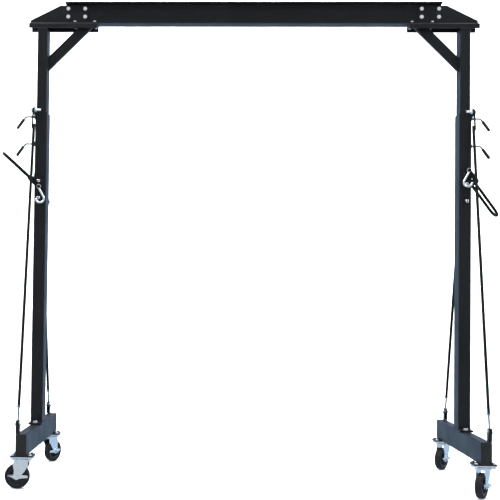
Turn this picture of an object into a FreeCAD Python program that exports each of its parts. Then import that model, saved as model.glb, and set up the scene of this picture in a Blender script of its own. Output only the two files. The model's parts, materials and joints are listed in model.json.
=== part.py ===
import FreeCAD, Part
import math
import os

# Portable gantry crane: an I-beam on two telescoping masts, each standing on a
# tube base with four swivel casters under the whole crane.
# Millimetres. X runs along the beam, Y from front (-) to rear (+), Z up.
# The origin is on the floor, midway between the two masts.
# Every pair of left and right pieces is drawn on the +X side and mirrored.

V = FreeCAD.Vector
X_DIR, Y_DIR, Z_DIR = V(1, 0, 0), V(0, 1, 0), V(0, 0, 1)

# ---------------------------------------------------------------- driving sizes
MAST_X = 1058.0            # mast centre from the middle of the crane
BEAM_TOP = 2389.0          # height over the beam, masts fully lowered
LIFT_PITCH = 85.0          # spacing of the locking holes
LIFT_STEPS = 12            # number of pitches the masts rise

BEAM_LENGTH, BEAM_H, BEAM_W = 1893.0, 110.0, 70.0
BEAM_WEB, BEAM_FLANGE, BEAM_ROOT_R = 4.5, 7.0, 6.0
WEB_BOLT_R, WEB_BOLT_AF, WEB_WASHER_R = 5.0, 16.0, 9.8
FLANGE_BOLT_R, FLANGE_BOLT_AF = 5.0, 16.0
WEB_BOLT_X = (848.0, 934.0)
WEB_BOLT_Z = (BEAM_TOP - 70.0, BEAM_TOP - 29.0)
FLANGE_BOLT_X, FLANGE_BOLT_Y = (797.0, 898.0), 25.0

HEAD_INNER_X, HEAD_OUTER_X = 784.0, 1128.0
HEAD_W, HEAD_H, HEAD_WALL = 90.0, 26.0, 5.0
GUSSET_T = 6.0
GUSSET_INNER_X, GUSSET_PEAK_X = 832.0, 975.0
GUSSET_TIP_RISE = 21.0     # height of the gusset at its outer tip
BRACE_W, BRACE_D, BRACE_WALL = 50.0, 30.0, 3.0
BRACE_FOOT_Z = 2076.0      # where the brace's centre line meets the mast

INNER_W, INNER_D, OUTER_W, OUTER_D, MAST_WALL = 50.0, 90.0, 60.0, 100.0, 3.0
OUTER_TOP = 1825.0
STOP_GAP = 0.4             # inner mast above the foot plate when lowered

BASE_LENGTH, BASE_W, BASE_H, BASE_WALL = 914.0, 50.8, 101.6, 3.2
BASE_BOTTOM = 156.0
CAP_T = 4.0
FOOT_W, FOOT_L, FOOT_T = 68.0, 190.0, 8.0
FOOT_BOLT_Y = 76.0

PIN_X, PIN_LOW_Z = 1063.0, 1388.0
PIN_R, PIN_HEAD_R, PIN_HEAD_T = 6.0, 8.0, 6.0
PIN_PARK = 9.0             # how far the parked pin stands out of its bush
BUSH_R, BUSH_T = 11.0, 6.0

SCREW_HEIGHTS = (1669.0, 1807.0)
SCREW_R, SCREW_ROD_R, GRIP_R, GRIP_LENGTH = 6.0, 4.5, 8.0, 64.0
SCREW_BEND_X, SCREW_BEND_DEG, SCREW_BEND_R, GRIP_START = 1144.0, 54.0, 16.0, 14.0

LEVER_X, LEVER_Z = 1106.0, 1486.0
LEVER_SHAFT_R, LEVER_ROD_R = 7.0, 7.5
LEVER_ARM_Y, LEVER_REACH = 37.0, 200.0
LEVER_UP_DEG, LEVER_DOWN_DEG = 42.0, -54.0
CRANK_LENGTH, CRANK_W, CRANK_T, CRANK_Y = 65.0, 22.0, 6.0, 74.0
CRANK_PIN_R, HOOK_R, HOOK_BOWL_R, HOOK_DROP, HOOK_OFFSET = 5.0, 5.0, 20.0, 60.0, 6.0
HOOK_EYE_R = 11.0

ROD_TOP_Y, ROD_TOP_Z, ROD_TOP_X = 66.0, 1830.0, 1095.8
ROD_LOW_Y, ROD_LOW_Z = 440.0, 303.0
ROD_R, STRAP_T, STRAP_W, STRAP_LENGTH, ROD_INSET = 7.2, 5.0, 24.0, 96.0, 8.0
EYE_SHANK_R, EYE_RING_R, EYE_T, EYE_LENGTH = 4.5, 12.0, 9.0, 86.0
EAR_T = 5.0
LUG_T, LUG_GAP, LUG_L, LUG_H = 3.0, 9.4, 34.0, 62.0

CASTER_Y, CASTER_TRAIL = 402.0, 24.0
WHEEL_R, WHEEL_W, CORE_R = 58.0, 32.0, 44.0
PLATE_X, PLATE_Y, PLATE_T, MOUNT_T = 105.0, 90.0, 5.0, 6.0
PLATE_BOLT_X, PLATE_BOLT_Y = 40.0, 33.0
RACE_R, RACE_H, CROWN_R = 40.0, 5.5, 38.0
FORK_INNER_Y, FORK_T, CROWN_BOTTOM = 19.0, 4.0, 128.0
AXLE_R = 5.0
# Corner name, side, front or rear, the way each caster trails in plan, and the
# side of the fork that the brake lever is fitted on.
CASTERS = (
    ("front_left", -1, -1, 180.0, 1),
    ("front_right", 1, -1, 238.0, 1),
    ("rear_left", -1, 1, 60.0, -1),
    ("rear_right", 1, 1, 233.0, 1),
)

RUN_FIT = 0.05             # radial clearance of a pin that turns in a bore

# ---------------------------------------------------------------- worked-out sizes
BEAM_BOTTOM = BEAM_TOP - BEAM_H
HEAD_BOTTOM = BEAM_BOTTOM - HEAD_H
BASE_TOP = BASE_BOTTOM + BASE_H
FOOT_TOP = BASE_TOP + FOOT_T
OUTER_FACE_X = MAST_X + OUTER_W / 2
OUTER_FRONT_Y = OUTER_D / 2
INNER_FRONT_Y = INNER_D / 2
ROD_LOW_X = MAST_X + BASE_W / 2 - LUG_T - LUG_GAP / 2
PIN_HEIGHTS = (PIN_LOW_Z, PIN_LOW_Z + LIFT_PITCH)
HOLE_HEIGHTS = [PIN_LOW_Z + LIFT_PITCH * (i - LIFT_STEPS) for i in range(LIFT_STEPS + 2)]
SIDES = (("left", -1), ("right", 1))

nodes = {}


def add(name, *solids):
    nodes.setdefault(name, []).extend(solids)


def mirrored(shape):
    return shape.mirror(V(0, 0, 0), X_DIR)


def on_side(shape, side):
    return shape if side > 0 else mirrored(shape)


def front_or_rear(shape, end):
    """A shape drawn on the +Y side, or its mirror image on the -Y side."""
    return shape if end > 0 else shape.mirror(V(0, 0, 0), Y_DIR)


# ---------------------------------------------------------------- stock and fasteners
def cyl(radius, start, end):
    axis = end - start
    return Part.makeCylinder(radius, axis.Length, start, axis)


def span_box(x0, x1, y0, y1, z0, z1):
    return Part.makeBox(x1 - x0, y1 - y0, z1 - z0, V(x0, y0, z0))


def rounded_rect(width, depth, radius):
    """A rounded rectangle wire in the XY plane, centred on the origin."""
    w, d, r = width / 2, depth / 2, radius
    c = r * math.sqrt(0.5)
    edges = []
    corners = ((1, 1), (-1, 1), (-1, -1), (1, -1))
    for i, (sx, sy) in enumerate(corners):
        centre = V(sx * (w - r), sy * (d - r), 0)
        along_x, along_y = V(sx * r, 0, 0), V(0, sy * r, 0)
        start, end = (along_x, along_y) if i % 2 == 0 else (along_y, along_x)
        middle = V(sx * c, sy * c, 0)
        edges.append(Part.Arc(centre + start, centre + middle, centre + end).toShape())
        nx, ny = corners[(i + 1) % 4]
        next_centre = V(nx * (w - r), ny * (d - r), 0)
        next_start = V(0, ny * r, 0) if i % 2 == 0 else V(nx * r, 0, 0)
        edges.append(Part.LineSegment(centre + end, next_centre + next_start).toShape())
    return Part.Wire(edges)


def tube(width, depth, wall, length, corner=None):
    """A rectangular tube standing on the origin, with rounded corners."""
    corner = corner or 1.8 * wall
    outside = Part.Face(rounded_rect(width, depth, corner))
    inside = Part.Face(rounded_rect(width - 2 * wall, depth - 2 * wall, corner - wall))
    return outside.cut(inside).extrude(V(0, 0, length))


def plate_xz(points, y0, y1):
    """A flat plate whose outline is given in X and Z."""
    corners = [V(x, y0, z) for x, z in points]
    return Part.Face(Part.makePolygon(corners + corners[:1])).extrude(V(0, y1 - y0, 0))


def hexagon(across_flats, height, start, axis):
    radius = across_flats / math.sqrt(3)
    corners = [V(radius * math.cos(math.radians(60 * i)), radius * math.sin(math.radians(60 * i)), 0)
               for i in range(6)]
    prism = Part.Face(Part.makePolygon(corners + corners[:1])).extrude(V(0, 0, height))
    cone = Part.makeCone(radius + height * 0.8, radius - height * 0.12, height)
    solid = prism.common(cone)
    solid.Placement = FreeCAD.Placement(start, FreeCAD.Rotation(Z_DIR, axis))
    return solid


def bolt(radius, across_flats, head_h, start, axis, length):
    """A hex bolt. start is under its head, and axis points down the shank."""
    axis = V(axis).normalize()
    head = hexagon(across_flats, head_h, start, axis * -1)
    shank = cyl(radius, start - axis * (head_h / 2), start + axis * length)
    return head.fuse(shank).removeSplitter()


def nut(radius, across_flats, height, start, axis):
    axis = V(axis).normalize()
    bore = cyl(radius, start - axis, start + axis * (height + 1))
    return hexagon(across_flats, height, start, axis).cut(bore)


def washer(radius, outer, thick, start, axis):
    axis = V(axis).normalize()
    bore = cyl(radius, start - axis, start + axis * (thick + 1))
    return cyl(outer, start, start + axis * thick).cut(bore)


def bent_rod(points, bend_radius, radius):
    """A round bar along straight runs joined by tangent arcs."""
    edges, cursor = [], points[0]
    for before, corner, after in zip(points, points[1:], points[2:]):
        to_back, to_front = (before - corner).normalize(), (after - corner).normalize()
        half = to_back.getAngle(to_front) / 2
        setback = bend_radius / math.tan(half)
        bisector = (to_back + to_front).normalize()
        middle = corner + bisector * (bend_radius / math.sin(half) - bend_radius)
        start, end = corner + to_back * setback, corner + to_front * setback
        edges.append(Part.LineSegment(cursor, start).toShape())
        edges.append(Part.Arc(start, middle, end).toShape())
        cursor = end
    edges.append(Part.LineSegment(cursor, points[-1]).toShape())
    path = Part.Wire(edges)
    return swept(path, points[0], points[1] - points[0], radius)


def swept(path, start, direction, radius):
    profile = Part.Wire([Part.makeCircle(radius, start, direction)])
    return path.makePipeShell([profile], True, True)


# ---------------------------------------------------------------- upper frame
def beam():
    half_l, half_w = BEAM_LENGTH / 2, BEAM_W / 2
    lower = span_box(-half_l, half_l, -half_w, half_w, BEAM_BOTTOM, BEAM_BOTTOM + BEAM_FLANGE)
    upper = span_box(-half_l, half_l, -half_w, half_w, BEAM_TOP - BEAM_FLANGE, BEAM_TOP)
    web = span_box(-half_l, half_l, -BEAM_WEB / 2, BEAM_WEB / 2, BEAM_BOTTOM, BEAM_TOP)
    solid = lower.fuse([upper, web]).removeSplitter()
    roots = [e for e in solid.Edges
             if abs(abs(e.CenterOfMass.y) - BEAM_WEB / 2) < 0.1 and e.Length > half_l]
    solid = solid.makeFillet(BEAM_ROOT_R, roots)
    tools = [cyl(WEB_BOLT_R + 0.5, V(x, -half_w, z), V(x, half_w, z))
             for x, z in web_bolt_places()]
    tools += [cyl(FLANGE_BOLT_R + 0.5, V(x, y, BEAM_BOTTOM - 1), V(x, y, BEAM_BOTTOM + BEAM_FLANGE + 1))
              for x, y in flange_bolt_places()]
    return solid.cut(tools)


def web_bolt_places():
    return [(side * x, z) for side in (-1, 1) for x in WEB_BOLT_X for z in WEB_BOLT_Z]


def flange_bolt_places():
    return [(side * x, end * FLANGE_BOLT_Y) for side in (-1, 1) for x in FLANGE_BOLT_X for end in (-1, 1)]


def head_channel():
    """An upside-down channel under the beam's end, open below."""
    outside = span_box(HEAD_INNER_X, HEAD_OUTER_X, -HEAD_W / 2, HEAD_W / 2, HEAD_BOTTOM, BEAM_BOTTOM)
    top_edges = [e for e in outside.Edges
                 if e.Length > HEAD_W + 1 and e.CenterOfMass.z > BEAM_BOTTOM - 1]
    outside = outside.makeFillet(HEAD_WALL, top_edges)
    inside = span_box(HEAD_INNER_X - 1, HEAD_OUTER_X + 1, -HEAD_W / 2 + HEAD_WALL, HEAD_W / 2 - HEAD_WALL,
                      HEAD_BOTTOM - 1, BEAM_BOTTOM - HEAD_WALL)
    holes = [cyl(FLANGE_BOLT_R + 0.5, V(x, y, HEAD_BOTTOM), V(x, y, BEAM_BOTTOM + 1))
             for x, y in flange_bolt_places() if x > 0]
    return outside.cut([inside] + holes)


def gusset():
    """The sloped plate bolted to the beam's web and welded on the head."""
    over_flange = BEAM_BOTTOM + BEAM_FLANGE + BEAM_ROOT_R
    under_flange = BEAM_TOP - BEAM_FLANGE - BEAM_ROOT_R
    past_beam = BEAM_LENGTH / 2 + 3.0
    outline = ((GUSSET_INNER_X, over_flange), (GUSSET_INNER_X, under_flange),
               (GUSSET_PEAK_X, under_flange), (HEAD_OUTER_X, BEAM_BOTTOM + GUSSET_TIP_RISE),
               (HEAD_OUTER_X, BEAM_BOTTOM), (past_beam, BEAM_BOTTOM), (past_beam, over_flange))
    front = -BEAM_WEB / 2 - GUSSET_T
    solid = plate_xz(outline, front, front + GUSSET_T)
    tip = [e for e in solid.Edges
           if abs(e.CenterOfMass.x - HEAD_OUTER_X) < 0.1
           and abs(e.CenterOfMass.z - BEAM_BOTTOM - GUSSET_TIP_RISE) < 0.1]
    solid = solid.makeFillet(12.0, tip)
    holes = [cyl(WEB_BOLT_R + 0.5, V(x, front - 1, z), V(x, front + GUSSET_T + 1, z))
             for x, z in web_bolt_places() if x > 0]
    return solid.cut(holes)


def brace():
    """A square-cut tube at 45 degrees from the mast up into the head."""
    length = 400.0
    solid = tube(BRACE_W, BRACE_D, BRACE_WALL, 2 * length)
    solid.translate(V(0, 0, -length))
    solid.rotate(V(0, 0, 0), Y_DIR, -45)
    solid.translate(V(MAST_X - INNER_W / 2, 0, BRACE_FOOT_Z))
    room = span_box(HEAD_INNER_X - 40, MAST_X - INNER_W / 2, -BRACE_D, BRACE_D,
                    BRACE_FOOT_Z - 60, BEAM_BOTTOM - HEAD_WALL)
    return solid.common(room)


def inner_mast():
    bottom = FOOT_TOP + STOP_GAP
    solid = tube(INNER_W, INNER_D, MAST_WALL, HEAD_BOTTOM - bottom)
    solid.translate(V(MAST_X, 0, bottom))
    holes = [cyl(PIN_R + 0.6, V(PIN_X, -INNER_D, z), V(PIN_X, INNER_D, z)) for z in HOLE_HEIGHTS]
    return solid.cut(holes)


def web_bolts():
    front = -BEAM_WEB / 2 - GUSSET_T
    washer_t, grip = 2.0, BEAM_WEB + GUSSET_T
    solids = []
    for x, z in web_bolt_places():
        seat = V(x, front - washer_t, z)
        back = V(x, BEAM_WEB / 2, z)
        solids.append(bolt(WEB_BOLT_R, WEB_BOLT_AF, 6.5, seat, Y_DIR, grip + 2 * washer_t + 13))
        solids.append(washer(WEB_BOLT_R, WEB_WASHER_R, washer_t, seat, Y_DIR))
        solids.append(washer(WEB_BOLT_R, WEB_WASHER_R, washer_t, back, Y_DIR))
        solids.append(nut(WEB_BOLT_R, WEB_BOLT_AF, 8.5, back + Y_DIR * washer_t, Y_DIR))
    return solids


def flange_bolts():
    top, below = BEAM_BOTTOM + BEAM_FLANGE, BEAM_BOTTOM - HEAD_WALL
    solids = []
    for x, y in flange_bolt_places():
        solids.append(bolt(FLANGE_BOLT_R, FLANGE_BOLT_AF, 6.5, V(x, y, top), Z_DIR * -1,
                           BEAM_FLANGE + HEAD_WALL + 12))
        solids.append(nut(FLANGE_BOLT_R, FLANGE_BOLT_AF, 8.5, V(x, y, below), Z_DIR * -1))
    return solids


# ---------------------------------------------------------------- legs
def outer_mast():
    solid = tube(OUTER_W, OUTER_D, MAST_WALL, OUTER_TOP - FOOT_TOP)
    solid.translate(V(MAST_X, 0, FOOT_TOP))
    holes = [cyl(SCREW_R + 0.4, V(MAST_X, 0, z), V(OUTER_FACE_X + 5, 0, z)) for z in SCREW_HEIGHTS]
    holes += [cyl(PIN_R + 0.4, V(PIN_X, -OUTER_D, z), V(PIN_X, 0, z)) for z in PIN_HEIGHTS]
    return solid.cut(holes)


def base_tube():
    length = BASE_LENGTH - 2 * CAP_T
    solid = tube(BASE_W, BASE_H, BASE_WALL, length)
    solid.rotate(V(0, 0, 0), X_DIR, -90)
    solid.translate(V(MAST_X, -length / 2, BASE_BOTTOM + BASE_H / 2))
    holes = [cyl(6.5, V(MAST_X, y, BASE_TOP - 2 * BASE_WALL), V(MAST_X, y, BASE_TOP + 1))
             for y in (-FOOT_BOLT_Y, FOOT_BOLT_Y)]
    return solid.cut(holes)


def base_cap():
    """A plastic plug: a lip over the rear tube end and a spigot inside it."""
    lip = Part.Face(rounded_rect(BASE_W, BASE_H, 5.0)).extrude(V(0, 0, CAP_T))
    lip = lip.makeFillet(1.5, [e for e in lip.Edges if e.CenterOfMass.z > CAP_T - 0.1])
    inner_w, inner_h = BASE_W - 2 * BASE_WALL - 0.4, BASE_H - 2 * BASE_WALL - 0.4
    spigot = tube(inner_w, inner_h, 2.5, 18.0, 4.0)
    spigot.translate(V(0, 0, -18.0))
    solid = lip.fuse(spigot).removeSplitter()
    solid.rotate(V(0, 0, 0), X_DIR, -90)
    solid.translate(V(MAST_X, BASE_LENGTH / 2 - CAP_T, BASE_BOTTOM + BASE_H / 2))
    return solid


def foot_plate():
    blank = Part.Face(rounded_rect(FOOT_W, FOOT_L, 6.0)).extrude(V(0, 0, FOOT_T))
    blank.translate(V(MAST_X, 0, BASE_TOP))
    holes = [cyl(6.5, V(MAST_X, y, BASE_TOP - 1), V(MAST_X, y, FOOT_TOP + 1))
             for y in (-FOOT_BOLT_Y, FOOT_BOLT_Y)]
    return blank.cut(holes)


def foot_bolts():
    """Rear bolt, its washer and the nut held inside the base tube."""
    seat = V(MAST_X, FOOT_BOLT_Y, FOOT_TOP + 2.5)
    inside = V(MAST_X, FOOT_BOLT_Y, BASE_TOP - BASE_WALL)
    return [bolt(6.0, 18.0, 7.5, seat, Z_DIR * -1, FOOT_T + BASE_WALL + 16),
            washer(6.0, 12.0, 2.5, seat, Z_DIR * -1),
            nut(6.0, 18.0, 10.0, inside, Z_DIR * -1)]


def rod_bracket():
    """A drilled ear welded to the mast's outer face beside its rear edge."""
    outline = ((26.0, OUTER_TOP - 30), (ROD_TOP_Y + 14, ROD_TOP_Z - 12), (ROD_TOP_Y + 14, ROD_TOP_Z + 15),
               (26.0, ROD_TOP_Z + 15))
    corners = [V(OUTER_FACE_X, y, z) for y, z in outline]
    solid = Part.Face(Part.makePolygon(corners + corners[:1])).extrude(V(EAR_T, 0, 0))
    outer = [e for e in solid.Edges if e.Length < EAR_T + 1 and e.CenterOfMass.y > ROD_TOP_Y]
    solid = solid.makeFillet(9.0, outer)
    return solid.cut(cyl(6.2, V(OUTER_FACE_X - 1, ROD_TOP_Y, ROD_TOP_Z),
                         V(OUTER_FACE_X + EAR_T + 1, ROD_TOP_Y, ROD_TOP_Z)))


def rod_line():
    """Bolt centres of a rear rod, the strap's run, and where the bar joins the strap."""
    top = V(ROD_TOP_X, ROD_TOP_Y, ROD_TOP_Z)
    low = V(ROD_LOW_X, ROD_LOW_Y, ROD_LOW_Z)
    lean = V(0, low.y - top.y, low.z - top.z).normalize()
    return top, low, lean, top + lean * (STRAP_LENGTH - 20) - X_DIR * ROD_INSET


def tie_rod():
    """A round bar welded on the inner face of a flat drilled strap."""
    top, low, lean, joint = rod_line()
    across = V(0, -lean.z, lean.y) * (STRAP_W / 2)
    start, end = top - lean * STRAP_W / 2, top + lean * STRAP_LENGTH
    corners = [start + across, start - across, end - across * 0.6, end + across * 0.6]
    strap = Part.Face(Part.makePolygon(corners + corners[:1])).extrude(V(STRAP_T, 0, 0))
    strap.translate(V(-STRAP_T / 2, 0, 0))
    corners_x = [e for e in strap.Edges if e.Length < STRAP_T + 0.5 and e.CenterOfMass.z > ROD_TOP_Z]
    strap = strap.makeFillet(9.0, corners_x)
    hole = cyl(6.2, top - X_DIR * STRAP_T, top + X_DIR * STRAP_T)
    bar = cyl(ROD_R, joint, low + (joint - low).normalize() * EYE_LENGTH)
    return strap.fuse(bar).removeSplitter().cut(hole)


def tie_rod_eyebolt():
    _, low, _, joint = rod_line()
    run = (joint - low).normalize()
    ring = cyl(EYE_RING_R, low - X_DIR * (EYE_T / 2), low + X_DIR * (EYE_T / 2))
    shank = cyl(EYE_SHANK_R, low + run * (EYE_RING_R - 3), low + run * EYE_LENGTH)
    hole = cyl(5.2, low - X_DIR * EYE_T, low + X_DIR * EYE_T)
    collar = nut(EYE_SHANK_R, 16.0, 8.0, low + run * (EYE_LENGTH - 9), run)
    return [ring.fuse(shank).removeSplitter().cut(hole), collar]


def tie_rod_lug():
    """A U-shaped upright welded on the base: two cheeks and a web on its outer end."""
    outer, inner = ROD_LOW_X + LUG_GAP / 2 + LUG_T, ROD_LOW_X - LUG_GAP / 2 - LUG_T
    y0, y1 = ROD_LOW_Y - LUG_L / 2, ROD_LOW_Y + LUG_L / 2 - 1
    blank = span_box(inner, outer, y0, y1, BASE_TOP, BASE_TOP + LUG_H)
    upper = [e for e in blank.Edges if abs(e.Length - (outer - inner)) < 0.1
             and e.CenterOfMass.z > BASE_TOP + 1 and e.CenterOfMass.y < ROD_LOW_Y]
    blank = blank.makeFillet(14.0, upper)
    slot = span_box(ROD_LOW_X - LUG_GAP / 2, ROD_LOW_X + LUG_GAP / 2, y0 - 1, y1 - LUG_T,
                    BASE_TOP - 1, BASE_TOP + LUG_H + 1)
    bore = cyl(5.4, V(inner - 1, ROD_LOW_Y, ROD_LOW_Z), V(outer + 1, ROD_LOW_Y, ROD_LOW_Z))
    return blank.cut([slot, bore])


def tie_rod_bolts():
    """The long bolt at the top of a rear rod and the short one at its foot."""
    head_seat = V(ROD_TOP_X + STRAP_T / 2, ROD_TOP_Y, ROD_TOP_Z)
    upper = bolt(6.0, 18.0, 7.5, head_seat, X_DIR * -1, 42.0)
    upper_nut = nut(6.0, 18.0, 10.0, V(OUTER_FACE_X, ROD_TOP_Y, ROD_TOP_Z), X_DIR * -1)
    half_lug = X_DIR * (LUG_GAP / 2 + LUG_T)
    foot = V(ROD_LOW_X, ROD_LOW_Y, ROD_LOW_Z)
    lower = bolt(5.0, 16.0, 6.5, foot + half_lug, X_DIR * -1, LUG_GAP + 2 * LUG_T + 9)
    lower_nut = nut(5.0, 16.0, 6.0, foot - half_lug, X_DIR * -1)
    return [upper, upper_nut, lower, lower_nut]


# ---------------------------------------------------------------- clamp screws and pins
def clamp_nut(z):
    return nut(SCREW_R + RUN_FIT, 22.0, 12.0, V(OUTER_FACE_X, 0, z), X_DIR)


def grip_run():
    slope = math.radians(SCREW_BEND_DEG)
    return V(math.cos(slope), 0, -math.sin(slope))


def clamp_screw(z):
    """The threaded stub and the bent rod that carries the grip."""
    tip_x = MAST_X + INNER_W / 2 + 0.5
    stub = cyl(SCREW_R, V(tip_x, 0, z), V(OUTER_FACE_X + 26, 0, z))
    start = V(OUTER_FACE_X + 20, 0, z)
    corner = V(SCREW_BEND_X, 0, z)
    end = corner + grip_run() * (GRIP_START + GRIP_LENGTH - 6.0)
    rod = bent_rod([start, corner, end], SCREW_BEND_R, SCREW_ROD_R)
    return stub.fuse(rod).removeSplitter()


def clamp_grip(z):
    """A rubber sleeve with rounded ends, closed over the tip of the rod."""
    start = V(SCREW_BEND_X, 0, z) + grip_run() * GRIP_START
    end = start + grip_run() * GRIP_LENGTH
    sleeve = cyl(GRIP_R, start, end)
    sleeve = sleeve.makeFillet(3.0, [e for e in sleeve.Edges if e.Closed])
    bore = cyl(SCREW_ROD_R, start - grip_run(), end - grip_run() * 6.0)
    return sleeve.cut(bore)


def pin_bush(z):
    place = V(PIN_X, -OUTER_FRONT_Y - BUSH_T, z)
    solid = cyl(BUSH_R, place, V(PIN_X, -OUTER_FRONT_Y, z))
    solid = solid.makeFillet(1.2, [e for e in solid.Edges if e.Closed and e.CenterOfMass.y < place.y + 0.1])
    return solid.cut(cyl(PIN_R + RUN_FIT, place - Y_DIR, place + Y_DIR * (BUSH_T + 1)))


def lock_pin(z):
    """A push pin, parked with its tip just outside the inner mast."""
    tip = -INNER_FRONT_Y - 1.2
    neck = -OUTER_FRONT_Y - BUSH_T - PIN_PARK
    shank = cyl(PIN_R, V(PIN_X, tip, z), V(PIN_X, neck, z))
    head = cyl(PIN_HEAD_R, V(PIN_X, neck, z), V(PIN_X, neck - PIN_HEAD_T, z))
    head = head.makeFillet(2.5, [e for e in head.Edges if e.Closed and e.CenterOfMass.y < neck - 1])
    return shank.fuse(head).removeSplitter()


# ---------------------------------------------------------------- lift levers
def lever_bracket():
    """Two ears on a plate, welded to the mast's outer face."""
    back = span_box(OUTER_FACE_X, OUTER_FACE_X + 6, -28, 28, LEVER_Z - 30, LEVER_Z + 30)
    ears = []
    for y in (-26.0, 20.0):
        ear = span_box(OUTER_FACE_X + 5, LEVER_X, y, y + 6, LEVER_Z - 15, LEVER_Z + 15)
        ears.append(ear.fuse(cyl(15.0, V(LEVER_X, y, LEVER_Z), V(LEVER_X, y + 6, LEVER_Z))))
    bore = cyl(LEVER_SHAFT_R + RUN_FIT, V(LEVER_X, -40, LEVER_Z), V(LEVER_X, 40, LEVER_Z))
    return back.fuse(ears).removeSplitter().cut(bore)


def crank_end(angle_deg):
    """The crank's far end, opposite the handle. Angles are above horizontal."""
    a = math.radians(angle_deg)
    return V(LEVER_X - CRANK_LENGTH * math.cos(a), 0, LEVER_Z - CRANK_LENGTH * math.sin(a))


def crank(y0, y1):
    """One crank arm along -X from the shaft, between two Y planes."""
    y0, y1 = min(y0, y1), max(y0, y1)
    bar = span_box(-CRANK_LENGTH, 0, y0, y1, -CRANK_W / 2, CRANK_W / 2)
    ends = [cyl(CRANK_W / 2, V(x, y0, 0), V(x, y1, 0)) for x in (-CRANK_LENGTH, 0)]
    return bar.fuse(ends)


def lift_lever(angle_deg):
    """The looped handle, its cross shaft and a crank at each end."""
    outer = CRANK_Y + CRANK_T
    straight = LEVER_REACH - LEVER_ARM_Y
    loop = Part.Wire([
        Part.LineSegment(V(0, -LEVER_ARM_Y, 0), V(straight, -LEVER_ARM_Y, 0)).toShape(),
        Part.Arc(V(straight, -LEVER_ARM_Y, 0), V(LEVER_REACH, 0, 0), V(straight, LEVER_ARM_Y, 0)).toShape(),
        Part.LineSegment(V(straight, LEVER_ARM_Y, 0), V(0, LEVER_ARM_Y, 0)).toShape(),
    ])
    parts = [swept(loop, V(0, -LEVER_ARM_Y, 0), X_DIR, LEVER_ROD_R)]
    shaft = cyl(LEVER_SHAFT_R, V(0, -outer, 0), V(0, outer, 0))
    for end in (-1, 1):
        parts.append(crank(end * CRANK_Y, end * outer))
        parts.append(cyl(CRANK_PIN_R, V(-CRANK_LENGTH, end * CRANK_Y, 0), V(-CRANK_LENGTH, end * (outer + 13), 0)))
        parts.append(cyl(8.0, V(-CRANK_LENGTH, end * (outer + 12), 0), V(-CRANK_LENGTH, end * (outer + 15), 0)))
        parts.append(cyl(11.0, V(0, end * 30.0, 0), V(0, end * 44.0, 0)))
    solid = shaft.fuse(parts).removeSplitter()
    solid.rotate(V(0, 0, 0), Y_DIR, -angle_deg)
    solid.translate(V(LEVER_X, 0, LEVER_Z))
    return solid


def lift_hook(angle_deg, end):
    """A round-bar hook hanging from the crank pin, open on its outer side."""
    eye = crank_end(angle_deg)
    eye.y = end * (CRANK_Y + CRANK_T + 1 + HOOK_R)
    bowl = eye - Z_DIR * HOOK_DROP - X_DIR * HOOK_OFFSET
    start = eye - Z_DIR * (HOOK_EYE_R - 3)
    turn = math.degrees(math.acos(HOOK_BOWL_R / (start - bowl).Length))
    towards_eye = math.degrees(math.atan2(start.z - bowl.z, start.x - bowl.x))

    def on_bowl(deg):
        return bowl + V(HOOK_BOWL_R * math.cos(math.radians(deg)), 0, HOOK_BOWL_R * math.sin(math.radians(deg)))

    first, last = towards_eye + turn, 352
    leg_end = on_bowl(first)
    path = Part.Wire([
        Part.LineSegment(start, leg_end).toShape(),
        Part.Arc(leg_end, on_bowl((first + last) / 2), on_bowl(last)).toShape(),
    ])
    bar = swept(path, start, leg_end - start, HOOK_R)
    ring = cyl(HOOK_EYE_R, eye - Y_DIR * HOOK_R, eye + Y_DIR * HOOK_R)
    bore = cyl(CRANK_PIN_R + RUN_FIT, eye - Y_DIR * 9, eye + Y_DIR * 9)
    return bar.fuse([ring, Part.makeSphere(HOOK_R, on_bowl(last))]).removeSplitter().cut(bore)


# ---------------------------------------------------------------- casters
def caster_top_plate():
    """The zinc plate and the race pressed into it, about the swivel axis."""
    plate = Part.Face(rounded_rect(PLATE_X, PLATE_Y, 8.0)).extrude(V(0, 0, PLATE_T))
    plate.translate(V(0, 0, BASE_BOTTOM - MOUNT_T - PLATE_T))
    bottom = BASE_BOTTOM - MOUNT_T - PLATE_T
    race = Part.makeCone(RACE_R - 5, RACE_R, RACE_H, V(0, 0, bottom - RACE_H))
    holes = [cyl(5.5, V(x, y, bottom - 1), V(x, y, BASE_BOTTOM)) for x, y in plate_bolt_places()]
    holes.append(cyl(6.0, V(0, 0, bottom - 10), V(0, 0, BASE_BOTTOM)))
    return plate.fuse(race).removeSplitter().cut(holes)


def plate_bolt_places():
    return [(sx * PLATE_BOLT_X, sy * PLATE_BOLT_Y) for sx in (-1, 1) for sy in (-1, 1)]


def mount_plate():
    plate = Part.Face(rounded_rect(PLATE_X, PLATE_Y, 8.0)).extrude(V(0, 0, MOUNT_T))
    plate.translate(V(0, 0, BASE_BOTTOM - MOUNT_T))
    holes = [cyl(5.5, V(x, y, BASE_BOTTOM - MOUNT_T - 1), V(x, y, BASE_BOTTOM + 1))
             for x, y in plate_bolt_places()]
    return plate.cut(holes)


def plate_bolts():
    solids = []
    for x, y in plate_bolt_places():
        under = V(x, y, BASE_BOTTOM - MOUNT_T - PLATE_T)
        solids.append(bolt(5.0, 16.0, 6.5, V(x, y, BASE_BOTTOM), Z_DIR * -1, MOUNT_T + PLATE_T + 11))
        solids.append(nut(5.0, 16.0, 8.0, under, Z_DIR * -1))
    return solids


def kingpin():
    """The riveted pin that the fork swivels on."""
    top = BASE_BOTTOM - MOUNT_T
    shank = cyl(6.0, V(0, 0, CROWN_BOTTOM - 1), V(0, 0, top))
    head = cyl(10.0, V(0, 0, CROWN_BOTTOM - 4.3), V(0, 0, CROWN_BOTTOM - 0.3))
    head = head.makeFillet(2.0, [e for e in head.Edges if e.Closed and e.CenterOfMass.z < CROWN_BOTTOM - 3])
    return shank.fuse(head).removeSplitter()


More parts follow.
